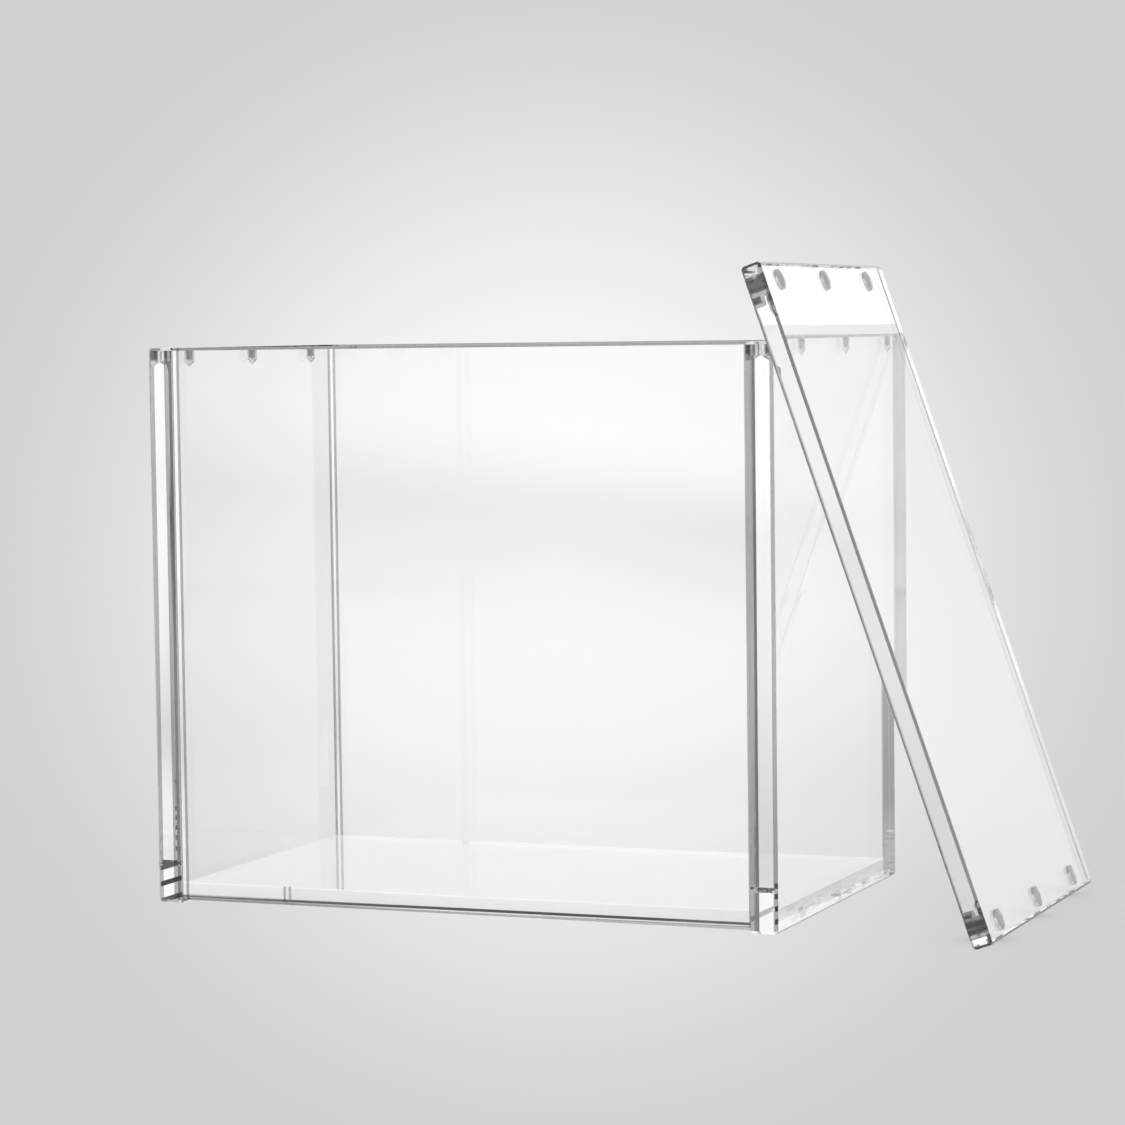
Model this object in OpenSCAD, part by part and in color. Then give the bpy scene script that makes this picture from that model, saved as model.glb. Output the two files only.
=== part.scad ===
// Clear acrylic storage box with a lift-off magnetic lid.
// Two thick side walls carry a front panel, a back panel and a base between them. Each wall's top
// edge and each short end of the lid is drilled for three disc magnets. The lid stands beside the
// box and leans on the top outer edge of the right wall.
// x runs to the right, y towards the back and z up. The origin is the middle of the box's underside.

/* [Box] */
// Outside width of the box, over both side walls
box_w = 198; // [120:1:320]
// Outside depth of the box, front to back
box_d = 117; // [70:1:220]
// Outside height of the box
box_h = 168; // [90:1:300]
// Thickness of the two side walls
wall_t = 8; // [7:0.5:15]
// Thickness of the front and back panels
panel_t = 6; // [3:0.5:12]
// Thickness of the base
base_t = 6; // [3:0.5:12]
// How far the front and back panels stop above the table
panel_lift = 1; // [0:0.1:3]

/* [Lid] */
// Thickness of the lid
lid_t = 6; // [5:0.5:12]
// How far each short end of the lid stands past the side wall under it when it is closed
lid_over = 1; // [0:0.1:3]
// How far in front of the box the lid is put down
lid_forward = 6.5; // [0:0.5:20]
// How far from the box the lower edge of the lid stands on the table
lid_foot = 59.5; // [20:0.5:100]
// Gap left between the leaning lid and the edge that it leans on
lean_gap = 0.2; // [0.1:0.1:0.5]

/* [Polished edges] */
// Width of the flat polished bevel along every free edge
bevel = 0.8; // [0.3:0.1:1]

/* [Magnets] */
// Diameter of the magnets in the side walls
wall_magnet_d = 5.5; // [3:0.5:6]
// Height of the magnets in the side walls
wall_magnet_h = 3.5; // [2:0.5:8]
// Diameter of the magnets in the lid
lid_magnet_d = 6; // [3:0.5:8]
// Height of the magnets in the lid
lid_magnet_h = 3; // [1:0.5:4]
// Distance from the front or back of a plate to the middle of its end magnets
magnet_inset = 16.5; // [8:0.5:30]
// Gap all round a magnet in its hole
magnet_fit = 0.05; // [0.02:0.01:0.2]
// Air left under a magnet in its hole
hole_spare = 0.6; // [0.2:0.1:2]
// Angle of the drill point that leaves the cone under a wall magnet
drill_angle = 118; // [90:1:140]

/* [Hidden] */
$fn = 64;
eps = 0.01;

inside_w = box_w - 2*wall_t;
inside_d = box_d - 2*panel_t;
lid_len = box_w + 2*lid_over;
lid_dep = box_d;

// Magnets sit on the middle line of each wall's top edge, and over it in the closed lid
wall_magnet_x = box_w/2 - wall_t/2;
lid_magnet_s = lid_over + wall_t/2;
magnet_ys = [-box_d/2 + magnet_inset, 0, box_d/2 - magnet_inset];
wall_hole_r = wall_magnet_d/2 + magnet_fit;
lid_hole_r = lid_magnet_d/2 + magnet_fit;
drill_point = wall_hole_r / tan(drill_angle/2);

// The leaning lid stands on the corner of its foot end, and its underside passes lean_gap from
// the foot of the right wall's top outer bevel. lean is measured from upright.
foot_x = box_w/2 + lid_foot;
lean_z = box_h - bevel;
foot_to_lean = sqrt(pow(lid_foot, 2) + pow(lean_z, 2));
lean = atan(lid_foot/lean_z) - asin((bevel + lean_gap)/foot_to_lean);

module bar(w, h, cuts) {
    // Outline from 0,0 to w,h with the bevel cut at the corners named in
    // cuts = [lower left, lower right, upper right, upper left]
    c = [for (k = cuts) k ? bevel : 0];
    polygon([[c[0], 0], [w - c[1], 0], [w, c[1]], [w, h - c[2]],
             [w - c[2], h], [c[3], h], [0, h - c[3]], [0, c[0]]]);
}

module sheet(size, plan, front, side) {
    // Flat sheet with bevelled edges: what three outlines have in common, one along each axis
    intersection() {
        linear_extrude(size[2]) bar(size[0], size[1], plan);
        translate([0, size[1], 0]) rotate([90, 0, 0])
            linear_extrude(size[1]) bar(size[0], size[2], front);
        rotate([90, 0, 90]) linear_extrude(size[0]) bar(size[1], size[2], side);
    }
}

module side_wall() {
    // Stands with its inner face at x = 0 and its outer face at x = wall_t
    difference() {
        translate([0, -box_d/2, 0])
            sheet([wall_t, box_d, box_h],
                  plan = [false, true, true, false],
                  front = [false, true, true, true],
                  side = [true, true, true, true]);
        for (y = magnet_ys) translate([wall_t/2, y, box_h]) mirror([0, 0, 1]) wall_hole();
    }
}

module wall_hole() {
    depth = wall_magnet_h + hole_spare;
    translate([0, 0, -eps]) cylinder(r = wall_hole_r, h = depth + eps);
    translate([0, 0, depth]) cylinder(r1 = wall_hole_r, r2 = 0, h = drill_point);
}

module left_wall() {
    color([0.92, 0.95, 0.95, 0.4])
        mirror([1, 0, 0]) translate([box_w/2 - wall_t, 0, 0]) side_wall();
}

module right_wall() {
    color([0.92, 0.95, 0.95, 0.4])
        translate([box_w/2 - wall_t, 0, 0]) side_wall();
}

module panel() {
    // Stands on y = 0 between the side walls, with its outer face at y = 0
    translate([-inside_w/2, 0, panel_lift])
        sheet([inside_w, panel_t, box_h - panel_lift],
              plan = [false, false, false, false],
              front = [false, false, false, false],
              side = [true, false, true, true]);
}

module front_panel() {
    color([0.92, 0.95, 0.95, 0.4]) translate([0, -box_d/2, 0]) panel();
}

module back_panel() {
    color([0.92, 0.95, 0.95, 0.4]) mirror([0, 1, 0]) translate([0, -box_d/2, 0]) panel();
}

module base_panel() {
    color([0.92, 0.95, 0.95, 0.4])
        translate([-inside_w/2, -inside_d/2, 0]) cube([inside_w, inside_d, base_t]);
}

module wall_magnet(side, i) {
    // side is -1 for the left wall and 1 for the right wall
    color([0.62, 0.63, 0.65])
        translate([side*wall_magnet_x, magnet_ys[i], box_h - wall_magnet_h])
            cylinder(d = wall_magnet_d, h = wall_magnet_h);
}

module leaning() {
    // Takes the lid from lying closed, with its foot end at x = 0 and the rest of it at negative x
    // and its underside at z = 0, to where it leans
    translate([foot_x, -lid_forward, 0]) rotate([0, 90 - lean, 0])
        translate([0, 0, -bevel]) children();
}

module lid_plate() {
    color([0.92, 0.95, 0.95, 0.4]) leaning() difference() {
        translate([-lid_len, -lid_dep/2, 0])
            sheet([lid_len, lid_dep, lid_t],
                  plan = [true, true, true, true],
                  front = [true, true, true, true],
                  side = [true, true, true, true]);
        for (s = [lid_magnet_s, lid_len - lid_magnet_s], y = magnet_ys)
            translate([-s, y, -eps]) cylinder(r = lid_hole_r, h = lid_magnet_h + hole_spare + eps);
    }
}

module lid_magnet(s, i) {
    // s is the distance from the foot end of the lid
    color([0.62, 0.63, 0.65]) leaning()
        translate([-s, magnet_ys[i], 0]) cylinder(d = lid_magnet_d, h = lid_magnet_h);
}

left_wall();
right_wall();
front_panel();
back_panel();
base_panel();
wall_magnet(-1, 0);  // left_wall_magnet_front
wall_magnet(-1, 1);  // left_wall_magnet_middle
wall_magnet(-1, 2);  // left_wall_magnet_back
wall_magnet(1, 0);  // right_wall_magnet_front
wall_magnet(1, 1);  // right_wall_magnet_middle
wall_magnet(1, 2);  // right_wall_magnet_back
lid_plate();
lid_magnet(lid_len - lid_magnet_s, 0);  // lid_upper_magnet_front
lid_magnet(lid_len - lid_magnet_s, 1);  // lid_upper_magnet_middle
lid_magnet(lid_len - lid_magnet_s, 2);  // lid_upper_magnet_back
lid_magnet(lid_magnet_s, 0);  // lid_lower_magnet_front
lid_magnet(lid_magnet_s, 1);  // lid_lower_magnet_middle
lid_magnet(lid_magnet_s, 2);  // lid_lower_magnet_back
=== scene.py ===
import math

import bmesh
import bpy
from mathutils import Matrix, Vector


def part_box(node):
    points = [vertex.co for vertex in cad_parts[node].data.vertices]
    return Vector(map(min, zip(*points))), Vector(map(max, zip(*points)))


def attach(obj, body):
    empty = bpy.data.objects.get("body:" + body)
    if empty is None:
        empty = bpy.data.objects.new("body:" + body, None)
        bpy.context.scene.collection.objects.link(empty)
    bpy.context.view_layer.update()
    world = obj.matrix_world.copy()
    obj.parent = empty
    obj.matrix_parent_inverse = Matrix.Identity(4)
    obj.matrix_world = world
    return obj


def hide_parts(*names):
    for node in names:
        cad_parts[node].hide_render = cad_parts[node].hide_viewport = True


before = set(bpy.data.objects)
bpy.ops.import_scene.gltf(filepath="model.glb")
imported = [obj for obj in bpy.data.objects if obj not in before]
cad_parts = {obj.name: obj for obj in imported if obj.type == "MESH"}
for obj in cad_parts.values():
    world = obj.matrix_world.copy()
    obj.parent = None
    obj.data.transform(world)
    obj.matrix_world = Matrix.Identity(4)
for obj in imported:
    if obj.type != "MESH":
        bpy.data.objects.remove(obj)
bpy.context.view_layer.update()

MM = 0.001

# Camera, fitted to the box's edges in the photograph
LENS = 114.0
SENSOR = 36.0
CAMERA_PLACE = Vector((0.41781, -1.00851, 0.17238))
YAW = math.radians(21.96)
PITCH = math.radians(3.76)
ROLL = math.radians(-0.74)

# Studio. Greys are 8-bit levels, and a level above 255 is brighter than white. BACKDROP is what is
# seen straight or through the acrylic, and STUDIO is what surfaces mirror. Both go by the angle in
# degrees from the middle of the picture.
WHITE = 255
BACKDROP = ((0, 252), (3.9, 244), (5.9, 231), (7.8, 217), (9.6, 209), (13, 209), (25, 230), (180, 234))
STUDIO = ((0, 252), (3.9, 244), (5.9, 231), (7.8, 217), (9.6, 216), (18, 238), (30, 256), (60, 250),
          (110, 100), (125, 288), (150, 288), (180, 180))
# Surfaces also mirror a white card low behind the object, with dark above it, and a dark ceiling.
# These go by the upward part of a direction, which is 0 at the horizon and 1 straight up.
CARD = ((0, 266), (0.08, 264), (0.14, 250), (0.19, 248), (0.23, 258), (0.32, 258), (0.36, 90), (1, 90))
CARD_SPREAD = 0.5  # cosine of how far the card reaches round from the picture's middle
CEILING_START = 0.45
CEILING_GREY = 95
MIRRORED = 0.5  # a ray with more mirror reflections in its path than this is mirrored light
FLOOR_SIZE = 60.0
FLOOR_DROP = 0.1 * MM  # clear and matt faces in one plane would come out black

# Light: the share of it that comes from the whole sky, the rest being two soft lamps
SKY_SHARE = 0.6
LAMPS = (  # name, share of the light, degrees round from behind the camera, height in degrees, softness
    ("key_lamp", 0.27, -55, 55, 50),
    ("fill_lamp", 0.13, 70, 40, 70),
)
MOST_BOUNCES = 32
SHEET_BOUNCES = 24  # of the light that the sheets mirror, and of the light that they pass

# Acrylic
ACRYLIC_IOR = 1.49
ACRYLIC_TINT = (0.992, 0.997, 0.996, 1)
SHADOW_TINT = (0.99, 0.992, 0.992, 1)
FACE_COSINE = 0.9  # a surface looks along a direction where its normal's cosine to it is above this
WAVE_SCALE = 14
WAVE_DETAIL = 1
WAVE_DEPTH = 0.02 * MM

# Polishing streaks on the cut edges, drawn out along the height
STREAK_SCALE = 900
STREAK_DETAIL = 3
STREAK_STRETCH = (1, 1, 0.06)
STREAK_DEPTH = 0.01  # as a share of the wave's
EDGE_ROUGHNESS = 0.012

# Painted shade: dark lines along the bevels and beside the glued joints
PAINTED_SHADE_TINT = (0.20, 0.205, 0.205, 1)
BEVEL_COSINE = math.sqrt(0.5)
BEVEL_SPREAD = 0.12
FOOT_BEVEL = 0.9 * MM  # the bevels below this height stay clear
# Widths of the strips of painted shade beside the glued joints
WALL_SEAM_SHADE = 2.6 * MM  # from the joint out, on a wall's upright end
PANEL_SEAM_SHADE = 0.5 * MM  # from the joint in, on a panel's face

# The panels and the base are set in by this at each glued end
GLUE_GAP = 0.03 * MM
SAME_POINT = 0.01 * MM  # corners nearer than this are merged first

# Drilled holes, left matt by the drill
DRILLED_ROUGHNESS = 0.32
HOLE_MARGIN = 0.2 * MM  # past the magnet's rim
WALL_HOLE_START = 0.02 * MM  # below the wall's top edge
WALL_HOLE_END = 8 * MM
LID_HOLE_REACH = 2.3 * MM  # to both sides of the magnet's middle, through the lid

# Magnets
NICKEL = (0.20, 0.20, 0.205, 1)
NICKEL_DULL = (0.09, 0.09, 0.095, 1)
NICKEL_ROUGHNESS = 0.14
CLOUD_SCALE = 420
CLOUD_DETAIL = 3
CLOUD_ROUGHNESS = 0.18
GRAIN_SCALE = 6000
GRAIN_DETAIL = 2
GRAIN_DEPTH = 0.004 * MM


class Num:
    """A number socket of a node tree. Python's operators on it add Math nodes."""

    def __init__(self, shade, socket):
        self.shade = shade
        self.socket = socket

    def math(self, operation, *others):
        node = self.shade.node("ShaderNodeMath", {"operation": operation},
                               dict(enumerate((self, *others))))
        return node[0]

    def __add__(self, other):
        return self.math("ADD", other)

    def __mul__(self, other):
        return self.math("MULTIPLY", other)

    def __sub__(self, other):
        return self.math("SUBTRACT", other)

    def __rsub__(self, other):
        return self * -1 + other

    def __truediv__(self, other):
        return self.math("DIVIDE", other)

    def __lt__(self, other):
        return self.math("LESS_THAN", other)

    def __gt__(self, other):
        return self.math("GREATER_THAN", other)

    def __abs__(self):
        return self.math("ABSOLUTE")

    __radd__ = __add__
    __rmul__ = __mul__

    def near(self, value, spread):
        """1 where the number lies within spread of value, else 0"""
        return self.math("COMPARE", value, spread)

    def most(self, other):
        return self.math("MAXIMUM", other)

    def least(self, other):
        return self.math("MINIMUM", other)


class Node:
    """A node of the tree. Its outputs are read by name or by place."""

    def __init__(self, shade, node):
        self.shade = shade
        self.node = node

    def __getitem__(self, key):
        return Num(self.shade, self.node.outputs[key])


class Shade:
    """The node tree of one material or world, emptied and ready to fill"""

    def __init__(self, owner):
        owner.use_nodes = True
        self.tree = owner.node_tree
        self.tree.nodes.clear()

    def node(self, kind, settings=None, inputs=None):
        """Adds a node, sets its settings and then the values or links of its inputs"""
        node = self.tree.nodes.new(kind)
        for name, value in (settings or {}).items():
            if name == "stops":
                set_stops(node.color_ramp, value)
            else:
                setattr(node, name, value)
        for name, value in (inputs or {}).items():
            if isinstance(value, Num):
                self.tree.links.new(value.socket, node.inputs[name])
            else:
                node.inputs[name].default_value = value
        return Node(self, node)

    def vector(self, operation, *values):
        """A Vector Math node"""
        return self.node("ShaderNodeVectorMath", {"operation": operation}, dict(enumerate(values)))

    def dot(self, vector, direction):
        """How far a vector reaches along a fixed direction"""
        return self.vector("DOT_PRODUCT", vector, tuple(direction))["Value"]

    def split(self, vector):
        """The x, y and z of a vector"""
        node = self.node("ShaderNodeSeparateXYZ", inputs={0: vector})
        return node["X"], node["Y"], node["Z"]

    def point(self):
        """The point being shaded, in the shared frame"""
        return self.node("ShaderNodeTexCoord")["Object"]

    def noise(self, point, scale, detail, stretch=(1, 1, 1)):
        """Noise from 0 to 1, drawn out along an axis where its stretch is small"""
        spread = self.vector("MULTIPLY", point, stretch)["Vector"]
        return self.node("ShaderNodeTexNoise", inputs={"Vector": spread, "Scale": scale,
                                                       "Detail": detail})["Fac"]

    def grey_ramp(self, place, stops):
        """The greys of a list of places from 0 to 1 and levels"""
        colours = [(at, linear_grey(level)) for at, level in stops]
        return self.node("ShaderNodeValToRGB", {"stops": colours}, {0: place})["Color"]

    def mix(self, factor, low, high):
        """A mix of two colours"""
        node = self.node("ShaderNodeMix", {"data_type": "RGBA"}, {0: factor, 6: low, 7: high})
        return node[2]

    def mix_shader(self, factor, low, high):
        return self.node("ShaderNodeMixShader", inputs={0: factor, 1: low, 2: high})[0]

    def bump(self, height, depth):
        return self.node("ShaderNodeBump", inputs={"Height": height, "Distance": depth})["Normal"]

    def finish(self, kind, shader):
        """Adds the output node, which is of one kind for a material and of another for a world"""
        self.node(kind, inputs={"Surface": shader})


def set_stops(ramp, stops):
    """Gives a colour ramp its stops, each a position and a colour"""
    while len(ramp.elements) > 1:
        ramp.elements.remove(ramp.elements[-1])
    ramp.elements[0].position, ramp.elements[0].color = stops[0]
    for position, colour in stops[1:]:
        ramp.elements.new(position).color = colour


def linear_grey(level):
    """A grey of the given 8-bit level as scene-linear light, by the sRGB curve"""
    light = ((level / WHITE + 0.055) / 1.055) ** 2.4
    return (light, light, light, 1)


def add_object(name, data):
    """A new object in the scene, at the origin"""
    thing = bpy.data.objects.new(name, data)
    bpy.context.scene.collection.objects.link(thing)
    return thing


# Studio

def view_axes():
    """The camera's right, up and forward directions"""
    forward = Vector((-math.sin(YAW) * math.cos(PITCH), math.cos(YAW) * math.cos(PITCH), -math.sin(PITCH)))
    right = Vector((math.cos(YAW), math.sin(YAW), 0))
    up = right.cross(forward)
    turned_right = math.cos(ROLL) * right + math.sin(ROLL) * up
    turned_up = math.cos(ROLL) * up - math.sin(ROLL) * right
    return turned_right, turned_up, forward


def make_camera():
    right, up, forward = view_axes()
    data = bpy.data.cameras.new("camera")
    data.lens = LENS
    data.sensor_width = SENSOR
    camera = add_object("camera", data)
    turn = Matrix((right, up, -forward)).transposed()
    camera.matrix_world = Matrix.Translation(CAMERA_PLACE) @ turn.to_4x4()
    bpy.context.scene.camera = camera


def grey_round(shade, direction, stops):
    """The grey in a direction, by its angle in degrees from the picture's middle"""
    along = shade.dot(direction, view_axes()[2])
    half_turns = along.math("ARCCOSINE") / math.pi
    return shade.grey_ramp(half_turns, [(degrees / 180, level) for degrees, level in stops])


def mirrored_studio(shade, direction):
    """What surfaces mirror: the studio round the object, its dark ceiling and the white card"""
    upward = shade.split(direction)[2]
    room = shade.mix(upward > CEILING_START, grey_round(shade, direction, STUDIO),
                     linear_grey(CEILING_GREY))
    on_card = (upward > 0) * (shade.dot(direction, view_axes()[2]) > CARD_SPREAD)
    return shade.mix(on_card, room, shade.grey_ramp(upward, CARD))


def make_world():
    """Even light for the surfaces, and the studio for what the camera, gloss and glass see"""
    world = bpy.data.worlds.new("studio")
    bpy.context.scene.world = world
    shade = Shade(world)
    direction = shade.node("ShaderNodeTexCoord")["Generated"]
    path = shade.node("ShaderNodeLightPath")
    seen = path["Is Camera Ray"].most(path["Is Glossy Ray"]).most(path["Is Transmission Ray"])
    mirrored = (path["Glossy Depth"] > MIRRORED).most(path["Is Glossy Ray"])
    picture = shade.mix(mirrored, grey_round(shade, direction, BACKDROP),
                        mirrored_studio(shade, direction))
    sky = (SKY_SHARE, SKY_SHARE, SKY_SHARE, 1)
    light = shade.node("ShaderNodeBackground", inputs={"Color": shade.mix(seen, sky, picture)})[0]
    shade.finish("ShaderNodeOutputWorld", light)


def pale_floor():
    """Matt grey that runs on into the backdrop, its colour painted light and shade: lighter in the middle
    of the picture and darker in a ring round it, with other painted greys where it is seen in a mirror.
    The pattern is fixed on the floor: it is worked out once from the photograph's viewpoint, and stays
    where it is when the camera moves."""
    material = bpy.data.materials.new("pale_floor")
    shade = Shade(material)
    away = shade.vector("SUBTRACT", shade.point(), tuple(CAMERA_PLACE))["Vector"]
    direction = shade.vector("NORMALIZE", away)["Vector"]
    mirrored = shade.node("ShaderNodeLightPath")["Glossy Depth"] > MIRRORED
    colour = shade.mix(mirrored, grey_round(shade, direction, BACKDROP),
                       grey_round(shade, direction, STUDIO))
    matt = shade.node("ShaderNodeBsdfDiffuse", inputs={"Color": colour})[0]
    shade.finish("ShaderNodeOutputMaterial", matt)
    return material


def make_floor():
    half = FLOOR_SIZE / 2
    mesh = bpy.data.meshes.new("floor")
    corners = [(x * half, y * half, -FLOOR_DROP) for x, y in ((-1, -1), (1, -1), (1, 1), (-1, 1))]
    mesh.from_pydata(corners, [], [(0, 1, 2, 3)])
    mesh.materials.append(pale_floor())
    floor = add_object("floor", mesh)


def make_lamps():
    """Soft lamps that light the matt surfaces, each giving its share of the floor's light"""
    for name, share, around, height, softness in LAMPS:
        data = bpy.data.lights.new(name, "SUN")
        data.energy = share * math.pi / math.sin(math.radians(height))
        data.angle = math.radians(softness)
        lamp = add_object(name, data)
        lamp.rotation_euler = (math.radians(90 - height), 0, YAW + math.radians(around))
        lamp.visible_glossy = False
        lamp.visible_transmission = False


def set_bounces():
    """Light runs on inside the clear sheets through many inner reflections"""
    cycles = bpy.context.scene.cycles
    cycles.max_bounces = MOST_BOUNCES
    cycles.glossy_bounces = SHEET_BOUNCES
    cycles.transmission_bounces = SHEET_BOUNCES
    cycles.transparent_max_bounces = MOST_BOUNCES


# Acrylic

def acrylic(name, across, holes=None, seam_shade=False):
    """Polished clear sheet, with shade painted as dark lines along its bevels. across is the direction
    through its thickness, holes is the function that finds its drilled holes, and the last argument
    says whether shade is also painted beside the glued joints on its ends or faces."""
    material = bpy.data.materials.new(name)
    shade = Shade(material)
    normal = shade.node("ShaderNodeTexCoord")["Normal"]
    facing = abs(shade.dot(normal, across))
    # dark is painted shade: dark lines on the bevels and, where asked, strips beside the glued joints
    dark = painted_bevel_shade(shade, facing)
    if seam_shade:
        dark = dark.most(painted_seam_shade(shade, normal))
    roughness, polished = polish(shade, facing < FACE_COSINE)
    if holes:
        roughness = roughness.most(holes(shade) * DRILLED_ROUGHNESS)
    sheet = shade.node("ShaderNodeBsdfPrincipled", inputs={
        "Base Color": shade.mix(dark, ACRYLIC_TINT, PAINTED_SHADE_TINT), "Roughness": roughness,
        "IOR": ACRYLIC_IOR, "Transmission Weight": 1.0, "Normal": polished})[0]
    shade.finish("ShaderNodeOutputMaterial", faintly_shadowed(shade, sheet))
    return material


def painted_bevel_shade(shade, facing):
    """Painted shade: 1 on the bevels, which look half along the sheet's thickness and half across it"""
    height = shade.split(shade.point())[2]
    return facing.near(BEVEL_COSINE, BEVEL_SPREAD) * (height > FOOT_BEVEL)


def painted_seam_shade(shade, normal):
    """Painted shade: 1 on strips that run up the box beside its glued joints, on the upright ends of the
    walls and on the faces of the panels"""
    upright = abs(shade.dot(normal, (0, 1, 0))) > FACE_COSINE
    out = abs(shade.split(shade.point())[0])
    joint = abs(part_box("left_wall")[1].x)
    return upright * (out < joint + WALL_SEAM_SHADE) * (out > joint - PANEL_SEAM_SHADE)


def polish(shade, edge):
    """The roughness and normal of a polished sheet, with streaks on its cut edges and a long wave
    all over"""
    point = shade.point()
    streaks = edge * shade.noise(point, STREAK_SCALE, STREAK_DETAIL, STREAK_STRETCH)
    wave = shade.noise(point, WAVE_SCALE, WAVE_DETAIL)
    normal = shade.bump(streaks * STREAK_DEPTH + wave, WAVE_DEPTH)
    return streaks * EDGE_ROUGHNESS, normal


def faintly_shadowed(shade, sheet):
    """The sheet for what is seen, and a plain clear surface for the light that falls through it"""
    clear = shade.node("ShaderNodeBsdfTransparent", inputs={"Color": SHADOW_TINT})[0]
    path = shade.node("ShaderNodeLightPath")
    lighting = path["Is Shadow Ray"].most(path["Is Diffuse Ray"])
    return shade.mix_shader(lighting, sheet, clear)


def distance(across, along):
    """How far a point lies from a hole's middle line"""
    return (across * across + along * along).math("SQRT")


def middle(node):
    """The middle of a CAD node's box"""
    low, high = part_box(node)
    return (low + high) / 2


def hole_reach(magnet):
    """How far a magnet's drilled hole reaches from its middle line. Along y, every magnet's box is as
    wide as the magnet, even in the leaning lid."""
    low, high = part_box(magnet)
    return (high.y - low.y) / 2 + HOLE_MARGIN


def wall_holes(shade):
    """1 on the drilled holes in the walls' top edges"""
    x, y, z = shade.split(shade.point())
    magnet = middle("left_wall_magnet_front")
    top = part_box("left_wall")[1].z
    across = abs(x) - abs(magnet.x)
    along = abs(abs(y) - abs(magnet.y)).least(abs(y))
    inside = distance(across, along) < hole_reach("left_wall_magnet_front")
    return inside * (z < top - WALL_HOLE_START) * (z > top - WALL_HOLE_END)


def lean_axes():
    """The middles of the leaning lid's lower and upper magnets, its direction up along itself and the
    one through its thickness"""
    lower = middle("lid_lower_magnet_middle")
    upper = middle("lid_upper_magnet_middle")
    along = (upper - lower).normalized()
    through = along.cross(Vector((0, 1, 0)))
    return lower, upper, along, through


def lid_holes(shade):
    """1 on the drilled holes at the lid's short ends"""
    lower, upper, along, through = lean_axes()
    point = shade.point()
    up = shade.dot(point, along)
    lengthwise = abs(up - lower.dot(along)).least(abs(up - upper.dot(along)))
    sideways = abs(shade.split(point)[1] - upper.y)
    spacing = middle("lid_upper_magnet_back").y - upper.y
    sideways = abs(sideways - spacing).least(sideways)
    inside = distance(lengthwise, sideways) < hole_reach("lid_upper_magnet_back")
    depth = abs(shade.dot(point, through) - upper.dot(through))
    return inside * (depth < LID_HOLE_REACH)


def shrink(mesh, box, gaps):
    """Moves the ends of a mesh towards the middle of its box, by the gap along each axis"""
    low, high = box
    centre = (low + high) / 2
    sheet = bmesh.new()
    sheet.from_mesh(mesh)
    bmesh.ops.remove_doubles(sheet, verts=sheet.verts, dist=SAME_POINT)
    for vert in sheet.verts:
        for axis, gap in enumerate(gaps):
            half = (high[axis] - low[axis]) / 2
            vert.co[axis] = centre[axis] + (vert.co[axis] - centre[axis]) * (1 - gap / half)
    sheet.to_mesh(mesh)
    sheet.free()


def set_in(node, material, gaps):
    """The sheet again, set in at its glued ends by the gap along each axis. Faces of two clear pieces
    that lie in one plane would pass light to and fro between them for ever."""
    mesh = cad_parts[node].data.copy()
    shrink(mesh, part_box(node), gaps)
    mesh.materials.clear()
    mesh.materials.append(material)
    piece = add_object(node + "_sheet", mesh)
    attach(piece, "box")
    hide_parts(node)


def coat(node, material):
    """Gives a CAD node its material"""
    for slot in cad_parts[node].material_slots:
        slot.material = material


def finish_acrylic():
    wall = acrylic("wall_acrylic", (1, 0, 0), wall_holes, seam_shade=True)
    panel = acrylic("panel_acrylic", (0, 1, 0), seam_shade=True)
    base = acrylic("base_acrylic", (0, 0, 1))
    lid = acrylic("lid_acrylic", lean_axes()[3], lid_holes)
    set_in("front_panel", panel, (GLUE_GAP, 0, 0))
    set_in("back_panel", panel, (GLUE_GAP, 0, 0))
    set_in("base_panel", base, (GLUE_GAP, GLUE_GAP, 0))
    coat("left_wall", wall)
    coat("right_wall", wall)
    coat("lid_plate", lid)


# Magnets

def nickel():
    """Nickel plating with a fine grain and soft clouds, which are lighter and less smooth"""
    material = bpy.data.materials.new("magnet_nickel")
    shade = Shade(material)
    point = shade.point()
    clouds = shade.noise(point, CLOUD_SCALE, CLOUD_DETAIL)
    grain = shade.noise(point, GRAIN_SCALE, GRAIN_DETAIL)
    metal = shade.node("ShaderNodeBsdfPrincipled", inputs={
        "Base Color": shade.mix(clouds, NICKEL_DULL, NICKEL), "Metallic": 1.0,
        "Roughness": clouds * CLOUD_ROUGHNESS + NICKEL_ROUGHNESS,
        "Normal": shade.bump(grain, GRAIN_DEPTH)})[0]
    shade.finish("ShaderNodeOutputMaterial", metal)
    return material


def finish_magnets():
    metal = nickel()
    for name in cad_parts:
        if "magnet" in name:
            coat(name, metal)


make_camera()
make_world()
make_floor()
make_lamps()
set_bounces()
finish_acrylic()
finish_magnets()
bpy.context.scene.view_settings.view_transform = "Standard"
